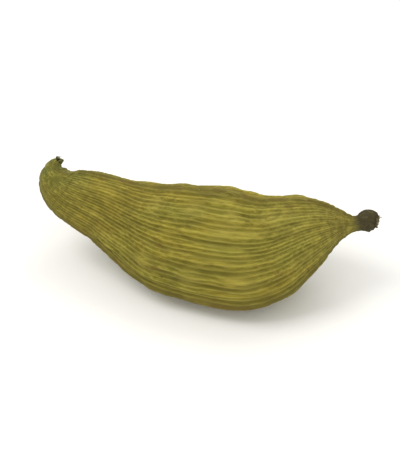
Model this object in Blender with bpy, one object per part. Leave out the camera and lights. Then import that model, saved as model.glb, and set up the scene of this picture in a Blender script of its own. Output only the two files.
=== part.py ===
"""Green cardamom pod, lying on one of its three faces.

The pod is one body, as it grew: a husk with three faces that meet in three keels, veins that run from end to
end, the withered beak that the flower left at one end, and the broken stub of its stalk at the other.

It is built as rings of points along a curved spine. Each ring is a rounded triangle, and each lengthwise row
of points stays on its own vein. +X runs from the beak to the stalk, +Y points to the hollow side of the
pod's curve and +Z is up. The origin is on the surface that the pod lies on, under the middle of its box.
"""

import math

import bpy
import numpy
from mathutils import Vector, noise

MM = 0.001

# Driving dimensions
POD_LENGTH = 21.2 * MM  # bend of the beak to the broken end of the stalk
HUSK_RADIUS = 3.6 * MM  # of the fattest ring, on average
RING_HEIGHT = 0.95  # height of a ring as a share of its width: pods dry a little flat
FLAT_DEPTH = 0.26 * MM  # how much of the lowest face is pressed flat where the pod lies

# The spine, from beak to stalk. Each station is the place and size of one ring that shapes the curve: share
# of the length, then how far it lies to the hollow side, how high it is and how big, as shares of the radius
STATIONS = (
    (0.03, -0.15, 1.50, 0.08),
    (0.02, -0.20, 1.45, 0.16),
    (0.025, -0.30, 1.30, 0.28),
    (0.05, -0.40, 1.15, 0.39),
    (0.10, -0.45, 1.05, 0.48),
    (0.19, -0.50, 1.00, 0.56),
    (0.30, -0.60, 0.80, 0.74),
    (0.39, -0.65, 0.70, 0.90),
    (0.50, -0.65, 0.70, 0.98),
    (0.61, -0.65, 0.70, 1.00),
    (0.69, -0.55, 0.80, 0.93),
    (0.75, -0.40, 0.95, 0.78),
    (0.82, -0.25, 1.15, 0.59),
    (0.885, -0.10, 1.20, 0.31),
    (0.935, -0.08, 1.25, 0.12),
    (0.955, -0.05, 1.30, 0.13),
    (0.975, 0.00, 1.35, 0.22),
    (1.00, 0.00, 1.35, 0.15),
)

# The ring's outline
CORNERS = 3
TOP_CORNER = math.radians(90)
CORNER_SHARE = 0.085  # how far the corners stand out of a round ring, as a share of its radius
KEEL_HEIGHT = 0.26 * MM
KEEL_SPREAD = math.radians(6)
TOP_KEEL_LEAN = math.radians(14)  # the top keel lies over to the hollow side
FURROW_DEPTH = 0.14 * MM  # the shallow furrow down the middle of each face
FURROW_SPREAD = math.radians(13)
VEINS_A_FACE = 8
VEIN_HEIGHT = 0.13 * MM

# What drying did to it
TWIST = math.radians(7)  # over the whole length
VEIN_WANDER = math.radians(2.4)
VEIN_WANDER_LENGTH = 6.5 * MM
VEIN_WANDER_ROUND = 2.0  # how fast the wander changes from one vein to the next
DENT_DEPTH = 0.20 * MM
DENT_LENGTH = 3.6 * MM
SEED_BULGE = 0.15 * MM  # the husk lies close over two rows of seeds behind each corner
SEED_PITCH = 2.9 * MM
SEED_ROW_ANGLE = math.radians(27)  # from the corner to each of its two rows
SEED_ROW_SPREAD = math.radians(13)
SEEDS_START = 0.35  # fullness of the pod, as a share of the fattest ring, where the seeds begin to show
SEEDS_FULL = 0.90

# How finely it is built
RINGS = 54
SPINE_STEPS = 600
POINTS_A_VEIN = 4
POINTS_A_RING = CORNERS * VEINS_A_FACE * POINTS_A_VEIN
END_DIMPLE = 0.10 * MM  # how far the middle of each end sinks in

HUSK_COLOUR = (0.262, 0.226, 0.041, 1.0)
HUSK_ROUGHNESS = 0.62


def smooth_step(low, high, value):
    """0 below low, 1 above high, and a smooth rise between them."""
    share = min(max((value - low) / (high - low), 0.0), 1.0)
    return share * share * (3 - 2 * share)


def spline_weights(t):
    """Weights of the four stations that shape a uniform cubic B-spline, at t from 0 to 1."""
    return (
        (1 - t) ** 3 / 6,
        (3 * t**3 - 6 * t**2 + 4) / 6,
        (-3 * t**3 + 3 * t**2 + 3 * t + 1) / 6,
        t**3 / 6,
    )


def ring_place(share):
    """Centre and radius of the ring at this share of the way from beak to stalk."""
    rows = (STATIONS[0],) * 2 + STATIONS + (STATIONS[-1],) * 2
    spans = len(rows) - 3
    place = min(max(share, 0.0), 1.0) * spans
    first = min(int(place), spans - 1)
    along, forward, height, size = (
        sum(weight * rows[first + k][column] for k, weight in enumerate(spline_weights(place - first)))
        for column in range(4)
    )
    centre = Vector((along * POD_LENGTH, forward * HUSK_RADIUS, height * HUSK_RADIUS))
    return centre, size * HUSK_RADIUS


def ring_axes(share):
    """Two directions across the spine: to the hollow side, and up."""
    reach = 0.5 / RINGS
    ahead = ring_place(share + reach)[0] - ring_place(share - reach)[0]
    side = Vector((0, 0, 1)).cross(ahead).normalized()
    return side, ahead.cross(side).normalized()


def ring_shares():
    """Where the rings go: evenly over the skin, and closer together where the pod is thin."""
    shares = numpy.linspace(0, 1, SPINE_STEPS)
    travelled = [0.0]
    centre, radius = ring_place(0)
    for share in shares[1:]:
        next_centre, next_radius = ring_place(share)
        step = math.hypot((next_centre - centre).length, next_radius - radius)
        travelled.append(travelled[-1] + step / math.sqrt(radius + next_radius))
        centre, radius = next_centre, next_radius
    return numpy.interp(numpy.linspace(0, travelled[-1], RINGS), travelled, shares)


def from_corner(angle):
    """Signed angle to the nearest of the three corners."""
    spacing = math.tau / CORNERS
    return (angle - TOP_CORNER + spacing / 2) % spacing - spacing / 2


def seed_bulge(angle, x):
    """Height of the soft bumps over the seeds, whose two rows at each corner are staggered."""
    offset = from_corner(angle)
    corner = round((angle - offset - TOP_CORNER) / (math.tau / CORNERS))
    row = 0.5 if offset > 0 else 0.0
    across = math.exp(-(((abs(offset) - SEED_ROW_ANGLE) / SEED_ROW_SPREAD) ** 2))
    beat = math.cos(math.tau * (x / SEED_PITCH + row + corner / CORNERS))
    return SEED_BULGE * across * (0.5 + 0.5 * beat)


def relief(angle, x, radius):
    """Height of keels, veins, furrows, seed bumps and dents over the plain ring. It fades on small rings."""
    fullness = radius / HUSK_RADIUS
    offset = from_corner(angle)
    keel = KEEL_HEIGHT * math.exp(-((offset / KEEL_SPREAD) ** 2))
    furrow = FURROW_DEPTH * math.exp(-(((math.pi / CORNERS - abs(offset)) / FURROW_SPREAD) ** 2))
    vein = VEIN_HEIGHT * (0.5 + 0.5 * math.cos(CORNERS * VEINS_A_FACE * (angle - TOP_CORNER)))
    place = Vector((x, radius * math.cos(angle), radius * math.sin(angle)))
    dent = DENT_DEPTH * noise.noise(place / DENT_LENGTH)
    body = smooth_step(SEEDS_START, SEEDS_FULL, fullness)
    return fullness * (keel + vein) + body * (seed_bulge(angle, x) + dent - furrow)


def wandered(angle, share):
    """Where a vein really runs: it drifts a little, and the pod has dried with a slight twist and lean."""
    along = share * POD_LENGTH / VEIN_WANDER_LENGTH
    drift = noise.noise(
        Vector((along, VEIN_WANDER_ROUND * math.cos(angle), VEIN_WANDER_ROUND * math.sin(angle)))
    )
    lean = TOP_KEEL_LEAN * (0.5 + 0.5 * math.sin(angle))
    return angle + TWIST * (share - 0.5) + VEIN_WANDER * drift - lean


def ring_points(share):
    """One ring: the rounded triangle with its relief, turned with the veins and set square to the spine."""
    centre, radius = ring_place(share)
    side, up = ring_axes(share)
    points = []
    for step in range(POINTS_A_RING):
        angle = math.tau * step / POINTS_A_RING
        corner = 1 + CORNER_SHARE * math.cos(CORNERS * (angle - TOP_CORNER))
        reach = radius * corner + relief(angle, centre.x, radius)
        turned = wandered(angle, share)
        across = side * (reach * math.cos(turned)) + up * (reach * RING_HEIGHT * math.sin(turned))
        points.append(centre + across)
    return points


def end_point(share, inwards):
    """Middle of an end, sunk a little way along the spine."""
    side, up = ring_axes(share)
    return ring_place(share)[0] + side.cross(up) * (inwards * END_DIMPLE)


def pod_mesh():
    """The rings joined in one closed skin, with its lowest part flat and its origin under the middle."""
    points = [end_point(0, 1)]
    for share in ring_shares():
        points += ring_points(share)
    points.append(end_point(1, -1))

    floor = min(point.z for point in points) + FLAT_DEPTH
    middle_x, middle_y = ((min(p[i] for p in points) + max(p[i] for p in points)) / 2 for i in (0, 1))
    points = [(p.x - middle_x, p.y - middle_y, max(p.z - floor, 0.0)) for p in points]

    def at(ring, step):
        return 1 + ring * POINTS_A_RING + step % POINTS_A_RING

    last = len(points) - 1
    faces = []
    for step in range(POINTS_A_RING):
        faces.append((0, at(0, step + 1), at(0, step)))
        faces.append((last, at(RINGS - 1, step), at(RINGS - 1, step + 1)))
        for ring in range(RINGS - 1):
            faces.append((at(ring, step), at(ring, step + 1), at(ring + 1, step + 1), at(ring + 1, step)))

    mesh = bpy.data.meshes.new("cardamom_pod")
    mesh.from_pydata(points, [], faces)
    mesh.shade_smooth()
    return mesh


def husk_material():
    """Dried husk: olive, matt and papery."""
    material = bpy.data.materials.new("dried_husk")
    material.use_nodes = True
    shader = material.node_tree.nodes["Principled BSDF"]
    shader.inputs["Base Color"].default_value = HUSK_COLOUR
    shader.inputs["Roughness"].default_value = HUSK_ROUGHNESS
    shader.inputs["Metallic"].default_value = 0.0
    return material


def main():
    for leftover in list(bpy.data.objects):
        bpy.data.objects.remove(leftover)
    pod = bpy.data.objects.new("cardamom_pod", pod_mesh())
    pod.data.materials.append(husk_material())
    bpy.context.scene.collection.objects.link(pod)


main()
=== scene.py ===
"""Looks of one green cardamom pod: its ribbed husk, the torn stub of its stalk and its withered beak.

The husk is the same form as the solid pod, drawn finer. A plain skin comes first: rings of points along a
curved spine, with keels, furrows, seed bumps and dents. Geometry Nodes then raise its ribs, veins and
wrinkles, and grow the torn fibres of the stalk, the dry shreds on the beak and the loose fibres of the husk.
"""

import math

import bpy
import numpy
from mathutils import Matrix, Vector, noise


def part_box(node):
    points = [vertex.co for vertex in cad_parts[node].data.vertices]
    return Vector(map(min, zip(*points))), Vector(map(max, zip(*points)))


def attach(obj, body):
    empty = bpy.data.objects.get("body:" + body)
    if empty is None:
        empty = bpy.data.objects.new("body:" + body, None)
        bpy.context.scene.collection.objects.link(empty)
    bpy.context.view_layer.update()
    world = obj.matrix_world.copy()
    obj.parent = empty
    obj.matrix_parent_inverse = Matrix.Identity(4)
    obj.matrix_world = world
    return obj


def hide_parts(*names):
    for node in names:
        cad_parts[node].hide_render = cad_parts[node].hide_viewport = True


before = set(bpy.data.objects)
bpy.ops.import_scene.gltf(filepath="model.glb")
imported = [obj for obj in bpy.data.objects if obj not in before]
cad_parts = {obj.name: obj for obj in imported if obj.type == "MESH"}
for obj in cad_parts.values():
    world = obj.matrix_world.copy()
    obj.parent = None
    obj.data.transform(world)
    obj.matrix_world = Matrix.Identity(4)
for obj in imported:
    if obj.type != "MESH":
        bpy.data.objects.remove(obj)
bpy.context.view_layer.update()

NODE = "cardamom_pod"

# Driving dimensions, from the solid pod's box
pod_low, pod_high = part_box(NODE)
POD_SIZE = pod_high - pod_low
MM = POD_SIZE.x / 21.67  # one millimetre of the pod, so that all the detail keeps its share of the pod's size
POD_LENGTH = 21.2 * MM
HUSK_RADIUS = 0.5303 * POD_SIZE.z  # of the fattest ring, on average
RING_HEIGHT = 0.95
FLAT_DEPTH = 0.26 * MM

# The spine, from beak to stalk: share of the length, then how far it lies to the hollow side, how high it is
# and how big its ring is, as shares of the radius
STATIONS = (
    (0.03, -0.15, 1.50, 0.08),
    (0.02, -0.20, 1.45, 0.16),
    (0.025, -0.30, 1.30, 0.28),
    (0.05, -0.40, 1.15, 0.39),
    (0.10, -0.45, 1.05, 0.48),
    (0.19, -0.50, 1.00, 0.56),
    (0.30, -0.60, 0.80, 0.74),
    (0.39, -0.65, 0.70, 0.90),
    (0.50, -0.65, 0.70, 0.98),
    (0.61, -0.65, 0.70, 1.00),
    (0.69, -0.55, 0.80, 0.93),
    (0.75, -0.40, 0.95, 0.78),
    (0.82, -0.25, 1.15, 0.59),
    (0.885, -0.10, 1.20, 0.31),
    (0.935, -0.08, 1.25, 0.12),
    (0.955, -0.05, 1.30, 0.13),
    (0.975, 0.00, 1.35, 0.22),
    (1.00, 0.00, 1.35, 0.15),
)

# The ring's outline
CORNERS = 3
TOP_CORNER = math.radians(90)
CORNER_SHARE = 0.085
KEEL_HEIGHT = 0.26 * MM
KEEL_SPREAD = math.radians(6)
TOP_KEEL_LEAN = math.radians(14)
FURROW_DEPTH = 0.14 * MM
FURROW_SPREAD = math.radians(13)
RIBS = 24

# What drying did to it
TWIST = math.radians(7)
RIB_WANDER = math.radians(2.4)
RIB_WANDER_LENGTH = 6.5 * MM
RIB_WANDER_ROUND = 2.0
DENT_DEPTH = 0.20 * MM
DENT_LENGTH = 3.6 * MM
SEED_BULGE = 0.15 * MM
SEED_PITCH = 2.9 * MM
SEED_ROW_ANGLE = math.radians(27)
SEED_ROW_SPREAD = math.radians(13)
SEEDS_START = 0.35
SEEDS_FULL = 0.90

# How finely it is drawn
RINGS = 222
SPINE_STEPS = 800
POINTS_A_RING = 18 * RIBS
SPINE_REACH = 0.009  # how far to each side of a ring the spine's direction is taken
END_DIMPLE = 0.10 * MM


def add(tree, kind, inputs=None, **settings):
    """Adds a node. An input, by name or number, is a value, a socket or a node, for its first output."""
    node = tree.nodes.new(kind)
    for name, value in settings.items():
        setattr(node, name, value)
    for key, value in (inputs or {}).items():
        socket = node.inputs[key] if isinstance(key, int) else next(
            s for s in node.inputs if s.name == key and s.enabled
        )
        if isinstance(value, bpy.types.Node):
            value = next(s for s in value.outputs if s.enabled)
        if isinstance(value, bpy.types.NodeSocket):
            tree.links.new(value, socket)
        else:
            socket.default_value = value
    return node


def smooth_step(low, high, value):
    """0 below low, 1 above high, and a smooth rise between them."""
    share = min(max((value - low) / (high - low), 0.0), 1.0)
    return share * share * (3 - 2 * share)


def spline_weights(t):
    """Weights of the four stations that shape a uniform cubic B-spline, at t from 0 to 1."""
    return (
        (1 - t) ** 3 / 6,
        (3 * t**3 - 6 * t**2 + 4) / 6,
        (-3 * t**3 + 3 * t**2 + 3 * t + 1) / 6,
        t**3 / 6,
    )


def ring_place(share):
    """Centre and radius of the ring at this share of the way from beak to stalk."""
    rows = (STATIONS[0],) * 2 + STATIONS + (STATIONS[-1],) * 2
    spans = len(rows) - 3
    place = min(max(share, 0.0), 1.0) * spans
    first = min(int(place), spans - 1)
    along, forward, height, size = (
        sum(weight * rows[first + k][column] for k, weight in enumerate(spline_weights(place - first)))
        for column in range(4)
    )
    centre = Vector((along * POD_LENGTH, forward * HUSK_RADIUS, height * HUSK_RADIUS))
    return centre, size * HUSK_RADIUS


def ring_axes(share):
    """Two directions across the spine: to the hollow side, and up."""
    ahead = ring_place(share + SPINE_REACH)[0] - ring_place(share - SPINE_REACH)[0]
    side = Vector((0, 0, 1)).cross(ahead).normalized()
    return side, ahead.cross(side).normalized()


def ring_shares():
    """Where the rings go: evenly over the skin, and closer together where the pod is thin."""
    shares = numpy.linspace(0, 1, SPINE_STEPS)
    travelled = [0.0]
    centre, radius = ring_place(0)
    for share in shares[1:]:
        next_centre, next_radius = ring_place(share)
        step = math.hypot((next_centre - centre).length, next_radius - radius)
        travelled.append(travelled[-1] + step / math.sqrt(radius + next_radius))
        centre, radius = next_centre, next_radius
    even = numpy.linspace(0, travelled[-1], RINGS)
    return [float(share) for share in numpy.interp(even, travelled, shares)]


def from_corner(angle):
    """Signed angle to the nearest of the three corners."""
    spacing = math.tau / CORNERS
    return (angle - TOP_CORNER + spacing / 2) % spacing - spacing / 2


def hump(offset, spread):
    """1 in the middle, falling to 0 on both sides."""
    return math.exp(-((offset / spread) ** 2))


def seed_share(angle, x):
    """1 over a seed, 0 between seeds. The two rows behind each corner are staggered."""
    offset = from_corner(angle)
    corner = round((angle - offset - TOP_CORNER) / (math.tau / CORNERS))
    row = 0.5 if offset > 0 else 0.0
    beat = math.cos(math.tau * (x / SEED_PITCH + row + corner / CORNERS))
    return hump(abs(offset) - SEED_ROW_ANGLE, SEED_ROW_SPREAD) * (0.5 + 0.5 * beat)


def wandered(angle, share):
    """Where a rib really runs: it drifts a little, and the pod has dried with a slight twist and lean."""
    along = share * POD_LENGTH / RIB_WANDER_LENGTH
    drift = noise.noise(
        Vector((along, RIB_WANDER_ROUND * math.cos(angle), RIB_WANDER_ROUND * math.sin(angle)))
    )
    lean = TOP_KEEL_LEAN * (0.5 + 0.5 * math.sin(angle))
    return angle + TWIST * (share - 0.5) + RIB_WANDER * drift - lean


def skin_ring(share, walked, whole):
    """One ring of the plain skin: its points, and for each the values that relief and colour follow."""
    centre, radius = ring_place(share)
    side, up = ring_axes(share)
    fullness = radius / HUSK_RADIUS
    body = smooth_step(SEEDS_START, SEEDS_FULL, fullness)
    for step in range(POINTS_A_RING):
        angle = math.tau * step / POINTS_A_RING
        round_y, round_z = radius * math.cos(angle), radius * math.sin(angle)
        offset = from_corner(angle)
        keel = hump(offset, KEEL_SPREAD)
        furrow = hump(math.pi / CORNERS - abs(offset), FURROW_SPREAD)
        seed = seed_share(angle, centre.x)
        dent = noise.noise(Vector((centre.x, round_y, round_z)) / DENT_LENGTH)
        corner = 1 + CORNER_SHARE * math.cos(CORNERS * (angle - TOP_CORNER))
        bulge = SEED_BULGE * seed + DENT_DEPTH * dent - FURROW_DEPTH * furrow
        reach = radius * corner + fullness * KEEL_HEIGHT * keel + body * bulge
        turned = wandered(angle, share)
        across = side * (reach * math.cos(turned)) + up * (reach * RING_HEIGHT * math.sin(turned))
        yield centre + across, {
            "along": walked / whole,
            "angle": angle,
            "fullness": fullness,
            "keel": keel,
            "seed": body * seed,
            # painted shade: how far the skin faces down, for the darker colour painted on the underside
            "under": max(-math.sin(turned), 0.0),
            "off tip": (centre + across - ring_place(0)[0]).length / POD_LENGTH,
            "bearing": body * keel if math.sin(turned) > 0 else 0.0,
            "unrolled": Vector((walked, round_y, round_z)),
        }


def end_point(share, inwards, walked, whole):
    """Middle of an end, sunk a little way along the spine, with its values."""
    side, up = ring_axes(share)
    values = dict.fromkeys(("angle", "fullness", "keel", "seed", "under", "bearing"), 0.0)
    values["off tip"] = share
    values |= {"along": walked / whole, "unrolled": Vector((walked, 0, 0))}
    return ring_place(share)[0] + side.cross(up) * (inwards * END_DIMPLE), values


def object_from(name, points, faces):
    """A mesh object of points, each with the values that it carries."""
    mesh = bpy.data.meshes.new(name)
    mesh.from_pydata([place for place, values in points], [], faces)
    for key, first in points[0][1].items():
        kind, field = ("FLOAT_VECTOR", "vector") if isinstance(first, Vector) else ("FLOAT", "value")
        layer = mesh.attributes.new(key, kind, "POINT")
        layer.data.foreach_set(field, numpy.array([values[key] for place, values in points]).ravel())
    return bpy.data.objects.new(name, mesh)


def plain_skin():
    """The pod without ribs, veins or wrinkles, closed at both ends."""
    shares = ring_shares()
    centres = [ring_place(share)[0] for share in shares]
    walked = [0.0]
    for one, other in zip(centres, centres[1:]):
        walked.append(walked[-1] + (other - one).length)
    whole = walked[-1]
    points = [end_point(0, 1, 0.0, whole)]
    for share, way in zip(shares, walked):
        points += skin_ring(share, way, whole)
    points.append(end_point(1, -1, whole, whole))

    def at(ring, step):
        return 1 + ring * POINTS_A_RING + step % POINTS_A_RING

    last = len(points) - 1
    faces = []
    for step in range(POINTS_A_RING):
        faces.append((0, at(0, step + 1), at(0, step)))
        faces.append((last, at(RINGS - 1, step), at(RINGS - 1, step + 1)))
        for ring in range(RINGS - 1):
            faces.append((at(ring, step), at(ring, step + 1), at(ring + 1, step + 1), at(ring + 1, step)))
    return object_from("plain_skin", points, faces)


def new_tree(name, values):
    """A Geometry Nodes tree that takes geometry, the named values and a material, and gives geometry."""
    tree = bpy.data.node_groups.new(name, "GeometryNodeTree")
    face = tree.interface
    face.new_socket("Geometry", in_out="OUTPUT", socket_type="NodeSocketGeometry")
    face.new_socket("Geometry", in_out="INPUT", socket_type="NodeSocketGeometry")
    for key, value in values.items():
        kind = {float: "NodeSocketFloat", int: "NodeSocketInt", tuple: "NodeSocketVector"}[type(value)]
        face.new_socket(key, in_out="INPUT", socket_type=kind)
    face.new_socket("Material", in_out="INPUT", socket_type="NodeSocketMaterial")
    return tree, add(tree, "NodeGroupInput").outputs


def finish_tree(tree, geometry, material):
    """Ends a tree: smooth shading, real faces and the material."""
    smooth = add(tree, "GeometryNodeSetShadeSmooth", {"Geometry": geometry})
    whole = add(tree, "GeometryNodeRealizeInstances", {"Geometry": smooth})
    finished = add(tree, "GeometryNodeSetMaterial", {"Geometry": whole, "Material": material})
    add(tree, "NodeGroupOutput", {"Geometry": finished})


def grown(source, tree, values, name):
    """Runs a tree on an object and gives the result as a plain mesh object of its own."""
    bpy.context.scene.collection.objects.link(source)
    modifier = source.modifiers.new(tree.name, "NODES")
    modifier.node_group = tree
    for item in tree.interface.items_tree:
        if item.in_out == "INPUT" and item.name in values:
            modifier[item.identifier] = values[item.name]
    view = bpy.context.evaluated_depsgraph_get()
    shown = source.evaluated_get(view)
    mesh = bpy.data.meshes.new_from_object(shown, preserve_all_data_layers=True, depsgraph=view)
    source.modifiers.remove(modifier)
    bpy.data.objects.remove(source)
    mesh.name = name
    piece = bpy.data.objects.new(name, mesh)
    bpy.context.scene.collection.objects.link(piece)
    return piece


def carried(piece):
    """A piece that moves with the pod."""
    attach(piece, "root")
    return piece


# Heights, lengths and widths of the relief. What is sunk has a height below zero. A drift is in radians of
# the wave that the ribs or veins make round the pod
RELIEF = {
    "Ribs": float(RIBS),
    "Rib sharpness": 2.0,
    "Rib drift": 1.8,
    "Rib drift length": 8.0 * MM,
    "Rib drift width": 1.6 * MM,
    "Rib patch length": 6.0 * MM,
    "Rib patch width": 0.9 * MM,
    "Weakest rib": 0.4,
    "Strongest rib": 1.1,
    "Veins": 72.0,
    "Vein drift": 5.5,
    "Vein drift length": 3.0 * MM,
    "Vein drift width": 1.2 * MM,
    "Crease length": 5.0 * MM,
    "Crease width": 1.0 * MM,
    "Wrinkle length": 0.6 * MM,
    "Wrinkle width": 2.2 * MM,
    "Pucker length": 1.3 * MM,
    "Pucker width": 0.5 * MM,
    "Bark size": 0.30 * MM,
    "rib height": 0.13 * MM,
    "vein height": 0.045 * MM,
    "crease height": -0.060 * MM,
    "wrinkle height": -0.045 * MM,
    "pucker height": 0.060 * MM,
    "bark height": 0.14 * MM,
}
GROOVE = 0.075  # how far from its middle the noise may be for a groove to form there
NOISE_SWING = 0.2  # how far from its middle the noise mostly goes
PLUMP = 0.9  # fullness of the pod above which nothing is wrinkled across
SLIM = 0.4  # fullness below which all of it is

# Shares of the way along the spine
BEAK_RIB_SHARE = 0.25  # how much of the ribs is left on the tip of the beak
BEAK_ENDS = 0.20  # where the ribs have their full height
STUB_STARTS = 0.93  # where husk turns to stalk
STUB_FULL = 0.965


def relief_tree():
    """Raises ribs, veins, creases, wrinkles and puckers from the plain skin, and bark from the stub."""
    tree, given = new_tree("husk_relief", RELIEF)
    kinds = {"angle": "FLOAT", "fullness": "FLOAT", "along": "FLOAT", "unrolled": "FLOAT_VECTOR"}
    angle, fullness, along, unrolled = (
        add(tree, "GeometryNodeInputNamedAttribute", {"Name": name}, data_type=kind)
        for name, kind in kinds.items()
    )

    def lumps(length, width):
        """Noise whose lumps are this long along the pod and this wide round it, from -0.5 to 0.5."""
        lump = add(tree, "ShaderNodeCombineXYZ", {0: length, 1: width, 2: width})
        place = add(tree, "ShaderNodeVectorMath", {0: unrolled, 1: lump}, operation="DIVIDE")
        value = add(tree, "ShaderNodeTexNoise", {"Vector": place, "Scale": 1.0, "Detail": 2.0})
        return add(tree, "ShaderNodeMath", {0: value, 1: 0.5}, operation="SUBTRACT")

    def ridges(count, drift, length, width):
        """Ridges from end to end, 1 on the crests and 0 between them, which drift a little to either side."""
        drifted = add(tree, "ShaderNodeMath", {0: lumps(length, width), 1: drift}, operation="MULTIPLY")
        turn = add(tree, "ShaderNodeMath", {0: angle, 1: count, 2: drifted}, operation="MULTIPLY_ADD")
        wave = add(tree, "ShaderNodeMath", {0: turn}, operation="COSINE")
        return add(tree, "ShaderNodeMapRange", {"Value": wave, "From Min": -1.0, "From Max": 1.0})

    def grooves(length, width):
        """1 along the winding lines where the noise crosses its middle, 0 beside them."""
        off = add(tree, "ShaderNodeMath", {0: lumps(length, width)}, operation="ABSOLUTE")
        span = {"Value": off, "From Max": GROOVE, "To Min": 1.0, "To Max": 0.0}
        return add(tree, "ShaderNodeMapRange", span, interpolation_type="SMOOTHSTEP")

    stub_span = {"Value": along, "From Min": STUB_STARTS, "From Max": STUB_FULL}
    stub = add(tree, "ShaderNodeMapRange", stub_span, interpolation_type="SMOOTHSTEP")
    husk = add(tree, "ShaderNodeMath", {0: 1.0, 1: stub}, operation="SUBTRACT")
    beak_span = {"Value": along, "From Max": BEAK_ENDS, "To Min": BEAK_RIB_SHARE}
    beak = add(tree, "ShaderNodeMapRange", beak_span, interpolation_type="SMOOTHSTEP")
    ribbed = add(tree, "ShaderNodeMath", {0: husk, 1: beak}, operation="MULTIPLY")
    full = add(tree, "ShaderNodeMath", {0: ribbed, 1: fullness}, operation="MULTIPLY")
    thin = add(tree, "ShaderNodeMapRange", {"Value": fullness, "From Min": PLUMP, "From Max": SLIM})
    slender = add(tree, "ShaderNodeMath", {0: thin, 1: husk}, operation="MULTIPLY")

    crest, vein = (
        ridges(*(given[kind + value] for value in ("s", " drift", " drift length", " drift width")))
        for kind in ("Rib", "Vein")
    )
    sharp = add(tree, "ShaderNodeMath", {0: crest, 1: given["Rib sharpness"]}, operation="POWER")
    wavering = {
        "Value": lumps(given["Rib patch length"], given["Rib patch width"]),
        "From Min": -NOISE_SWING,
        "From Max": NOISE_SWING,
        "To Min": given["Weakest rib"],
        "To Max": given["Strongest rib"],
    }
    strength = add(tree, "ShaderNodeMapRange", wavering)
    rib = add(tree, "ShaderNodeMath", {0: sharp, 1: strength}, operation="MULTIPLY")

    # Each pattern, and where on the pod it is raised
    patterns = {
        "rib": (rib, full),
        "vein": (vein, full),
        "crease": (grooves(given["Crease length"], given["Crease width"]), full),
        "wrinkle": (grooves(given["Wrinkle length"], given["Wrinkle width"]), slender),
        "pucker": (lumps(given["Pucker length"], given["Pucker width"]), fullness),
        "bark": (lumps(given["Bark size"], given["Bark size"]), stub),
    }
    height = 0.0
    for name, (pattern, where) in patterns.items():
        shown = add(tree, "ShaderNodeMath", {0: pattern, 1: where}, operation="MULTIPLY")
        step = {0: shown, 1: given[name + " height"], 2: height}
        height = add(tree, "ShaderNodeMath", step, operation="MULTIPLY_ADD")

    kept = given["Geometry"]
    values = {name: pattern for name, (pattern, where) in patterns.items()}
    values |= {"ribbed": ribbed, "slender": slender, "stub": stub}
    for name, value in values.items():
        note = {"Geometry": kept, "Name": name, "Value": value}
        kept = add(tree, "GeometryNodeStoreNamedAttribute", note)
    outwards = add(tree, "GeometryNodeInputNormal")
    rise = add(tree, "ShaderNodeVectorMath", {0: outwards, "Scale": height}, operation="SCALE")
    raised = add(tree, "GeometryNodeSetPosition", {"Geometry": kept, "Offset": rise})
    finish_tree(tree, raised, given["Material"])
    return tree


def lay_down(piece):
    """Puts the husk where the solid pod lies: centred in its box, with the lowest part of it pressed flat."""
    places = numpy.zeros(3 * len(piece.data.vertices), numpy.float32)
    piece.data.vertices.foreach_get("co", places)
    places = places.reshape(-1, 3)
    low, high = places.min(axis=0), places.max(axis=0)
    middle = (pod_low + pod_high) / 2
    across_x, across_y = (float(low[i] + high[i]) / 2 for i in (0, 1))
    shift = Vector((middle.x - across_x, middle.y - across_y, pod_low.z - float(low[2]) - FLAT_DEPTH))
    places += numpy.array(shift)
    places[:, 2] = numpy.maximum(places[:, 2], pod_low.z)
    piece.data.vertices.foreach_set("co", places.ravel())
    piece.data.update()
    return shift


def linear(code):
    """An sRGB hex colour as the linear colour that the shaders need."""
    parts = [int(code[k : k + 2], 16) / 255 for k in (1, 3, 5)]
    return tuple(p / 12.92 if p <= 0.04045 else ((p + 0.055) / 1.055) ** 2.4 for p in parts) + (1.0,)


# Colour of the husk from beak to stalk, by share of the way along the spine
HUSK_ZONES = (
    (0.00, "#6c6824"),
    (0.08, "#776c22"),
    (0.16, "#80721f"),
    (0.28, "#77691a"),
    (0.40, "#85781f"),
    (0.54, "#8d8028"),
    (0.68, "#887b25"),
    (0.80, "#8a7e30"),
    (0.90, "#7d7234"),
    (0.935, "#635c30"),
    (0.96, "#3d3a26"),
    (1.00, "#332f20"),
)

# Noise that colours follow: length and width of its lumps in mm, and how far it is moved so that no two agree
HUSK_NOISE = {
    "patch": (7.0, 5.0, 5.0),
    "green": (5.0, 2.4, 11.0),
    "sunned": (3.4, 1.6, 23.0),
    "streak": (6.0, 0.40, 37.0),
    "fine streak": (2.4, 0.17, 41.0),
    "scuff": (1.3, 0.5, 53.0),
    "bruise": (1.5, 0.9, 67.0),
    "fleck": (0.26, 0.20, 71.0),
    "grain": (0.60, 0.07, 83.0),
    "scale": (0.30, 0.22, 97.0),
}

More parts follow.
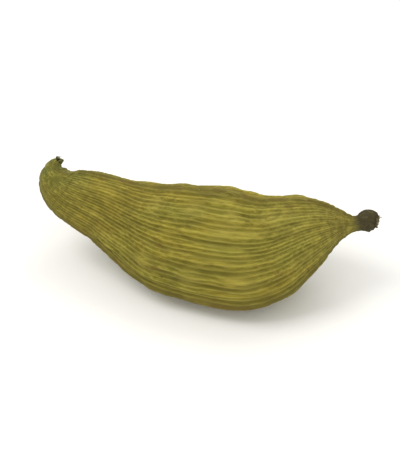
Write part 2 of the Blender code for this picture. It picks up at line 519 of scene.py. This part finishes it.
# Layers of colour, from the deepest: what each follows, where it starts and is full, its colour, how much of
# it, and what else it needs
HUSK_LAYERS = (
    ("patch", 0.49, 0.62, "#6a5c15", 0.60, None),  # where the husk cured brown
    ("patch", 0.49, 0.36, "#9a9140", 0.50, None),  # where it bleached
    ("green", 0.48, 0.66, "#5a661c", 0.55, None),  # green that was left when the pod dried
    ("sunned", 0.50, 0.68, "#a08c2c", 0.50, None),  # straw-coloured patches
    ("under", 0.20, 0.72, "#444b1b", 0.85, None),  # painted shade: darker green on the underside, where the pod lies in shadow
    ("off tip", 0.21, 0.00, "#455020", 1.60, "green"),  # dark green on the tip of the beak
    ("seed", 0.30, 0.95, "#ab9d44", 0.55, None),  # paler over the seed bulges
    ("streak", 0.49, 0.60, "#5f5918", 0.38, None),  # darker fibres in the husk
    ("fine streak", 0.53, 0.62, "#aa9b43", 0.42, None),  # paler fibres
    ("fine streak", 0.48, 0.39, "#5a5317", 0.38, None),
    ("grain", 0.50, 0.70, "#b0a24c", 0.75, "green"),  # the finest fibres, drawn coarser than they are
    ("grain", 0.50, 0.32, "#4e4814", 0.70, "patch"),
    ("rib", 0.45, 0.00, "#5a5218", 0.35, "ribbed"),  # the valleys are darker: dust and painted shade
    ("rib", 0.60, 1.10, "#a6993f", 0.35, "ribbed"),  # the crests are rubbed pale
    ("vein", 0.60, 1.00, "#aea14c", 0.42, "ribbed"),
    # darker between the veins: dust and painted shade
    ("vein", 0.40, 0.00, "#575016", 0.26, "ribbed"),
    # painted shade: darker in the sunk creases and wrinkles
    ("crease", 0.20, 1.00, "#4a4313", 0.28, "ribbed"),
    ("wrinkle", 0.15, 0.90, "#4d4617", 0.25, "slender"),
    ("keel", 0.20, 0.80, "#5d5626", 0.55, None),  # the keels cured darker
    ("scuff", 0.50, 0.62, "#665224", 0.55, "keel"),  # brown where the keels were rubbed
    ("bruise", 0.62, 0.70, "#5e481c", 0.50, None),
    ("fleck", 0.67, 0.73, "#42301a", 0.60, None),
    ("stub", 0.10, 0.90, "#3a3422", 0.90, None),  # the stalk is brown and dead
    ("scale", 0.50, 0.70, "#6e6546", 0.45, "stub"),
)
HUSK_ROUGHNESS = (0.52, 0.74)
HUSK_SHINE = 0.14  # specular level: dry plant fibre hardly shines
GRAIN_SWING = (0.3, 0.7)
GRAIN_HEIGHT = 0.02 * MM
GRAIN_STRENGTH = 0.6


def husk_material():
    """Dried cardamom husk: papery plant fibre, cured green. It is matt, mottled and pale along its ribs."""
    material = bpy.data.materials.new("dried_cardamom_husk")
    material.use_nodes = True
    tree = material.node_tree
    shader = tree.nodes["Principled BSDF"]
    used = {"along"} | {layer[0] for layer in HUSK_LAYERS} | {layer[-1] for layer in HUSK_LAYERS}
    follows = {
        name: add(tree, "ShaderNodeAttribute", attribute_name=name).outputs["Fac"]
        for name in sorted(used - {None} - set(HUSK_NOISE))
    }
    unrolled = add(tree, "ShaderNodeAttribute", attribute_name="unrolled").outputs["Vector"]
    for name, (length, width, moved) in HUSK_NOISE.items():
        lump = (1 / (length * MM), 1 / (width * MM), 1 / (width * MM))
        spot = {0: unrolled, 1: lump, 2: (moved,) * 3}
        place = add(tree, "ShaderNodeVectorMath", spot, operation="MULTIPLY_ADD")
        lumpy = {"Vector": place, "Scale": 1.0, "Detail": 4.0, "Roughness": 0.6}
        follows[name] = add(tree, "ShaderNodeTexNoise", lumpy).outputs[0]

    ragged = add(tree, "ShaderNodeMapRange", {"Value": follows["streak"], "To Min": -0.05, "To Max": 0.05})
    shifted = add(tree, "ShaderNodeMath", {0: follows["along"], 1: ragged}, operation="ADD")
    ramp = add(tree, "ShaderNodeValToRGB", {"Fac": shifted})
    for place, code in HUSK_ZONES[1:-1]:
        ramp.color_ramp.elements.new(place)
    for element, (place, code) in zip(ramp.color_ramp.elements, HUSK_ZONES):
        element.color = linear(code)

    colour = ramp
    for source, start, full, code, most, needs in HUSK_LAYERS:
        span = {"Value": follows[source], "From Min": start, "From Max": full, "To Max": most}
        amount = add(tree, "ShaderNodeMapRange", span)
        if needs:
            amount = add(tree, "ShaderNodeMath", {0: amount, 1: follows[needs]}, operation="MULTIPLY")
        laid = {"Factor": amount, "A": colour, "B": linear(code)}
        colour = add(tree, "ShaderNodeMix", laid, data_type="RGBA").outputs[2]
    tree.links.new(colour, shader.inputs["Base Color"])

    rough_span = {"Value": follows["grain"], "From Min": GRAIN_SWING[0], "From Max": GRAIN_SWING[1]}
    rough_span |= {"To Min": HUSK_ROUGHNESS[0], "To Max": HUSK_ROUGHNESS[1]}
    rough = add(tree, "ShaderNodeMapRange", rough_span)
    tree.links.new(rough.outputs[0], shader.inputs["Roughness"])
    bump = {"Height": follows["grain"], "Strength": GRAIN_STRENGTH, "Distance": GRAIN_HEIGHT}
    fibre = add(tree, "ShaderNodeBump", bump)
    tree.links.new(fibre.outputs[0], shader.inputs["Normal"])
    shader.inputs["Specular IOR Level"].default_value = HUSK_SHINE
    return material


# What all fibres have
FIBRE_STEPS = 8
FIBRE_SIDES = 6
FIBRE_ROOT = 0.15  # share of a fibre's length that is sunk in its root
FIBRE_TIP = 0.15  # girth of the tip as a share of the root's
SHORTEST_FIBRE = 0.45
THINNEST_FIBRE = 0.6
FRIZZ_SIZE = 0.35 * MM  # size of the bends
ROOTED_WITHIN = 0.85  # share of an end's radius that fibres are rooted in
END_SIDES = 16
FIBRE_PATCH = 0.25 * MM
FIBRE_ROUGHNESS = (0.6, 0.85)
FIBRE_SHINE = 0.2


def fibre_tree():
    """Grows dry fibres from a surface. Each tapers to its tip, leans over and is bent by noise."""
    tree, given = new_tree("dry_fibres", STALK_FIBRES)
    bearing = add(tree, "GeometryNodeInputNamedAttribute", {"Name": "bearing"}, data_type="FLOAT")
    density = add(tree, "ShaderNodeMath", {0: bearing, 1: given["Density"]}, operation="MULTIPLY")
    spots = add(
        tree, "GeometryNodeDistributePointsOnFaces",
        {"Mesh": given["Geometry"], "Density": density, "Seed": given["Seed"]},
    )

    line = add(tree, "GeometryNodeCurvePrimitiveLine", {"Start": (0, 0, -FIBRE_ROOT), "End": (0, 0, 1)})
    steps = add(tree, "GeometryNodeResampleCurve", {"Curve": line, "Count": FIBRE_STEPS})
    climb = add(tree, "GeometryNodeSplineParameter")
    taper = add(tree, "ShaderNodeMapRange", {"Value": climb, "To Min": 1.0, "To Max": FIBRE_TIP})
    tapered = add(tree, "GeometryNodeSetCurveRadius", {"Curve": steps, "Radius": taper})
    note = {"Geometry": tapered, "Name": "climb", "Value": climb}
    marked = add(tree, "GeometryNodeStoreNamedAttribute", note)
    circle = add(tree, "GeometryNodeCurvePrimitiveCircle", {"Resolution": FIBRE_SIDES, "Radius": 1.0})
    flat = add(tree, "ShaderNodeCombineXYZ", {0: 1.0, 1: given["Flatness"], 2: 1.0})
    profile = add(tree, "GeometryNodeTransform", {"Geometry": circle, "Scale": flat})
    tube = {"Curve": marked, "Profile Curve": profile, "Fill Caps": True}
    fibre = add(tree, "GeometryNodeCurveToMesh", tube)

    def chance(low, high, step):
        """A number between two others, different for each fibre."""
        seed = add(tree, "ShaderNodeMath", {0: given["Seed"], 1: float(step)}, operation="ADD")
        span = {"Min": low, "Max": high, "Seed": seed}
        return add(tree, "FunctionNodeRandomValue", span, data_type="FLOAT")

    size = chance(SHORTEST_FIBRE, 1.0, 1)
    long = add(tree, "ShaderNodeMath", {0: given["Length"], 1: size}, operation="MULTIPLY")
    width = chance(THINNEST_FIBRE, 1.0, 2)
    girth = add(tree, "ShaderNodeMath", {0: given["Thickness"], 1: width}, operation="MULTIPLY")
    stretch = add(tree, "ShaderNodeCombineXYZ", {0: girth, 1: girth, 2: long})
    stand = add(
        tree, "FunctionNodeAxesToRotation",
        {"Primary Axis": spots.outputs["Normal"], "Secondary Axis": given["Lengthwise"]},
        primary_axis="Z", secondary_axis="X",
    )
    least = add(tree, "ShaderNodeMath", {0: given["Turn"], 1: -1.0}, operation="MULTIPLY")
    turn = add(tree, "ShaderNodeCombineXYZ", {2: chance(least, given["Turn"], 3)})
    lean = add(tree, "ShaderNodeCombineXYZ", {1: chance(given["Least lean"], given["Most lean"], 4)})
    turned = add(tree, "FunctionNodeRotateRotation", {0: stand, 1: turn}, rotation_space="LOCAL")
    leaning = add(tree, "FunctionNodeRotateRotation", {0: turned, 1: lean}, rotation_space="LOCAL")
    planted = add(
        tree, "GeometryNodeInstanceOnPoints",
        {"Points": spots, "Instance": fibre, "Rotation": leaning, "Scale": stretch},
    )

    real = add(tree, "GeometryNodeRealizeInstances", {"Geometry": planted})
    place = add(tree, "GeometryNodeInputPosition")
    near = add(tree, "ShaderNodeVectorMath", {0: place, "Scale": 1 / FRIZZ_SIZE}, operation="SCALE")
    swirl = add(tree, "ShaderNodeTexNoise", {"Vector": near, "Scale": 1.0, "Detail": 1.0})
    off_middle = {0: swirl.outputs["Color"], 1: (0.5, 0.5, 0.5)}
    pull = add(tree, "ShaderNodeVectorMath", off_middle, operation="SUBTRACT")
    height = add(tree, "GeometryNodeInputNamedAttribute", {"Name": "climb"}, data_type="FLOAT")
    amount = add(tree, "ShaderNodeMath", {0: height, 1: given["Frizz"]}, operation="MULTIPLY")
    bend = add(tree, "ShaderNodeVectorMath", {0: pull, "Scale": amount}, operation="SCALE")
    bent = add(tree, "GeometryNodeSetPosition", {"Geometry": real, "Offset": bend})
    finish_tree(tree, bent, given["Material"])
    return tree


# Fibres of the torn stalk: density is fibres per square metre, and the turns are in radians
STALK_FIBRES = {
    "Density": 45 / MM**2,
    "Length": 0.24 * MM,
    "Thickness": 0.05 * MM,
    "Flatness": 0.6,
    "Lengthwise": (0.0, 0.0, 1.0),
    "Turn": math.pi,
    "Least lean": 0.0,
    "Most lean": math.radians(60),
    "Frizz": 0.30 * MM,
    "Seed": 4,
}

# Dry shreds of the flower on the tip of the beak
BEAK_SHREDS = STALK_FIBRES | {
    "Density": 70 / MM**2,
    "Length": 0.28 * MM,
    "Thickness": 0.13 * MM,
    "Flatness": 0.25,
    "Most lean": math.radians(65),
    "Frizz": 0.30 * MM,
    "Seed": 9,
}

# Loose fibres that lie along the keels of the husk
KEEL_FIBRES = STALK_FIBRES | {
    "Density": 4 / MM**2,
    "Length": 0.7 * MM,
    "Thickness": 0.018 * MM,
    "Lengthwise": (1.0, 0.0, 0.0),
    "Turn": math.radians(25),
    "Least lean": math.radians(82),
    "Most lean": math.radians(90),
    "Frizz": 0.10 * MM,
    "Seed": 17,
}


def fibre_material(name, root_code, tip_code):
    """Dry plant fibre: matt, each strand fades from root to tip and no two are quite the same colour."""
    material = bpy.data.materials.new(name)
    material.use_nodes = True
    tree = material.node_tree
    shader = tree.nodes["Principled BSDF"]
    climb = add(tree, "ShaderNodeAttribute", attribute_name="climb").outputs["Fac"]
    place = add(tree, "ShaderNodeTexCoord").outputs["Object"]
    patches = add(tree, "ShaderNodeTexNoise", {"Vector": place, "Scale": 1 / FIBRE_PATCH, "Detail": 2.0})
    mixed = add(tree, "ShaderNodeMath", {0: climb, 1: patches}, operation="MULTIPLY")
    faded = {"Factor": mixed, "A": linear(root_code), "B": linear(tip_code)}
    colour = add(tree, "ShaderNodeMix", faded, data_type="RGBA")
    tree.links.new(colour.outputs[2], shader.inputs["Base Color"])
    rough_span = {"Value": patches, "To Min": FIBRE_ROUGHNESS[0], "To Max": FIBRE_ROUGHNESS[1]}
    rough = add(tree, "ShaderNodeMapRange", rough_span)
    tree.links.new(rough.outputs[0], shader.inputs["Roughness"])
    shader.inputs["Specular IOR Level"].default_value = FIBRE_SHINE
    return material


def end_face(name, share, outwards, shift):
    """The face at one end of the spine, where fibres are rooted."""
    centre, radius = ring_place(share)
    side, up = ring_axes(share)
    points = [(centre + shift, {"bearing": 1.0})]
    for step in range(END_SIDES):
        angle = outwards * math.tau * step / END_SIDES
        across = side * math.cos(angle) + up * math.sin(angle)
        points.append((centre + shift + across * (ROOTED_WITHIN * radius), {"bearing": 1.0}))
    faces = [(0, 1 + step, 1 + (step + 1) % END_SIDES) for step in range(END_SIDES)]
    return object_from(name, points, faces)


def husk():
    """The pod's fine skin, in the solid pod's place, and how far the plain skin was moved to lie there."""
    piece = grown(plain_skin(), relief_tree(), RELIEF | {"Material": husk_material()}, "husk")
    shift = lay_down(piece)
    carried(piece)
    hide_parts(NODE)
    return piece, shift


def fibres(skin, shift):
    """Fibres of the torn stalk, shreds of the flower on the beak, and loose fibres on the keels."""
    tree = fibre_tree()
    stalk = fibre_material("torn_stalk_fibre", "#453e2a", "#8f8158")
    shred = fibre_material("withered_flower_tissue", "#3c4524", "#7a7540")
    loose = fibre_material("loose_husk_fibre", "#8a8038", "#b5aa6c")
    growths = (
        ("stalk_fibres", end_face("stalk_end", 1.0, 1, shift), STALK_FIBRES, stalk),
        ("beak_shreds", end_face("beak_end", 0.0, -1, shift), BEAK_SHREDS, shred),
        ("keel_fibres", bpy.data.objects.new("keels", skin.data.copy()), KEEL_FIBRES, loose),
    )
    for name, source, values, material in growths:
        carried(grown(source, tree, values | {"Material": material}, name))


FLOOR_REACH = 40  # pod lengths to each side
FLOOR_ROUGHNESS = 0.7


def floor():
    """A plain pale floor, far wider than the view."""
    reach = FLOOR_REACH * POD_LENGTH
    mesh = bpy.data.meshes.new("floor")
    corners = [(x * reach, y * reach, pod_low.z) for x, y in ((-1, -1), (1, -1), (1, 1), (-1, 1))]
    mesh.from_pydata(corners, [], [(0, 1, 2, 3)])
    piece = bpy.data.objects.new("floor", mesh)
    bpy.context.scene.collection.objects.link(piece)
    # Matt paint shows nothing but the soft shadow
    material = bpy.data.materials.new("matt_white_painted_board")
    material.use_nodes = True
    shader = material.node_tree.nodes["Principled BSDF"]
    shader.inputs["Base Color"].default_value = linear("#f4f3f0")
    shader.inputs["Roughness"].default_value = FLOOR_ROUGHNESS
    mesh.materials.append(material)


def facing(place, target):
    """The turn that makes a light or camera at one place look at another."""
    return (Vector(target) - Vector(place)).to_track_quat("-Z", "Y").to_euler()


def from_angles(azimuth, elevation):
    """The direction towards a viewer; azimuth 0 looks along +Y, with +X to the right."""
    turn, lift = math.radians(azimuth), math.radians(elevation)
    return Vector((math.sin(turn) * math.cos(lift), -math.cos(turn) * math.cos(lift), math.sin(lift)))


# Soft boxes: name, azimuth, elevation, distance and width in pod lengths, brightness of the box
SOFT_BOXES = (
    ("key", -75, 55, 9, 5, 12),
    ("back", 165, 50, 9, 5, 6),
    ("fill", 50, 35, 10, 7, 1),
)
WORLD_BRIGHTNESS = 0.93


def soft_boxes():
    """Soft studio light from the upper left, some from behind, and a weak fill from the right."""
    for name, azimuth, elevation, distance, width, brightness in SOFT_BOXES:
        light = bpy.data.lights.new(name, "AREA")
        light.shape = "DISK"
        light.size = width * POD_LENGTH
        light.energy = brightness * light.size**2
        lamp = bpy.data.objects.new(name, light)
        lamp.location = from_angles(azimuth, elevation) * (distance * POD_LENGTH)
        lamp.rotation_euler = facing(lamp.location, (0, 0, 0))
        bpy.context.scene.collection.objects.link(lamp)
    world = bpy.data.worlds.new("studio")
    world.use_nodes = True
    world.node_tree.nodes["Background"].inputs["Color"].default_value = linear("#fbfaf7")
    world.node_tree.nodes["Background"].inputs["Strength"].default_value = WORLD_BRIGHTNESS
    bpy.context.scene.world = world


VIEW_AZIMUTH = 15
VIEW_ELEVATION = 45
VIEW_DISTANCE = 16  # in pod lengths
SENSOR = 36
PHOTO_SIDES = (400, 471)
POD_SHARE_OF_WIDTH = 0.84


def camera():
    """A long lens at the photograph's viewing angle, with the pod across most of the picture."""
    data = bpy.data.cameras.new("camera")
    data.sensor_width = SENSOR
    width_seen = POD_LENGTH / POD_SHARE_OF_WIDTH
    height_seen = width_seen * PHOTO_SIDES[1] / PHOTO_SIDES[0]
    distance = VIEW_DISTANCE * POD_LENGTH
    data.lens = SENSOR * distance / height_seen
    data.clip_start = POD_LENGTH
    data.clip_end = 200 * POD_LENGTH
    eye = bpy.data.objects.new("camera", data)
    target = (pod_low + pod_high) / 2
    eye.location = target + from_angles(VIEW_AZIMUTH, VIEW_ELEVATION) * distance
    eye.rotation_euler = facing(eye.location, target)
    bpy.context.scene.collection.objects.link(eye)
    bpy.context.scene.camera = eye


camera()
floor()
soft_boxes()
fibres(*husk())
bpy.context.scene.view_settings.view_transform = "Standard"
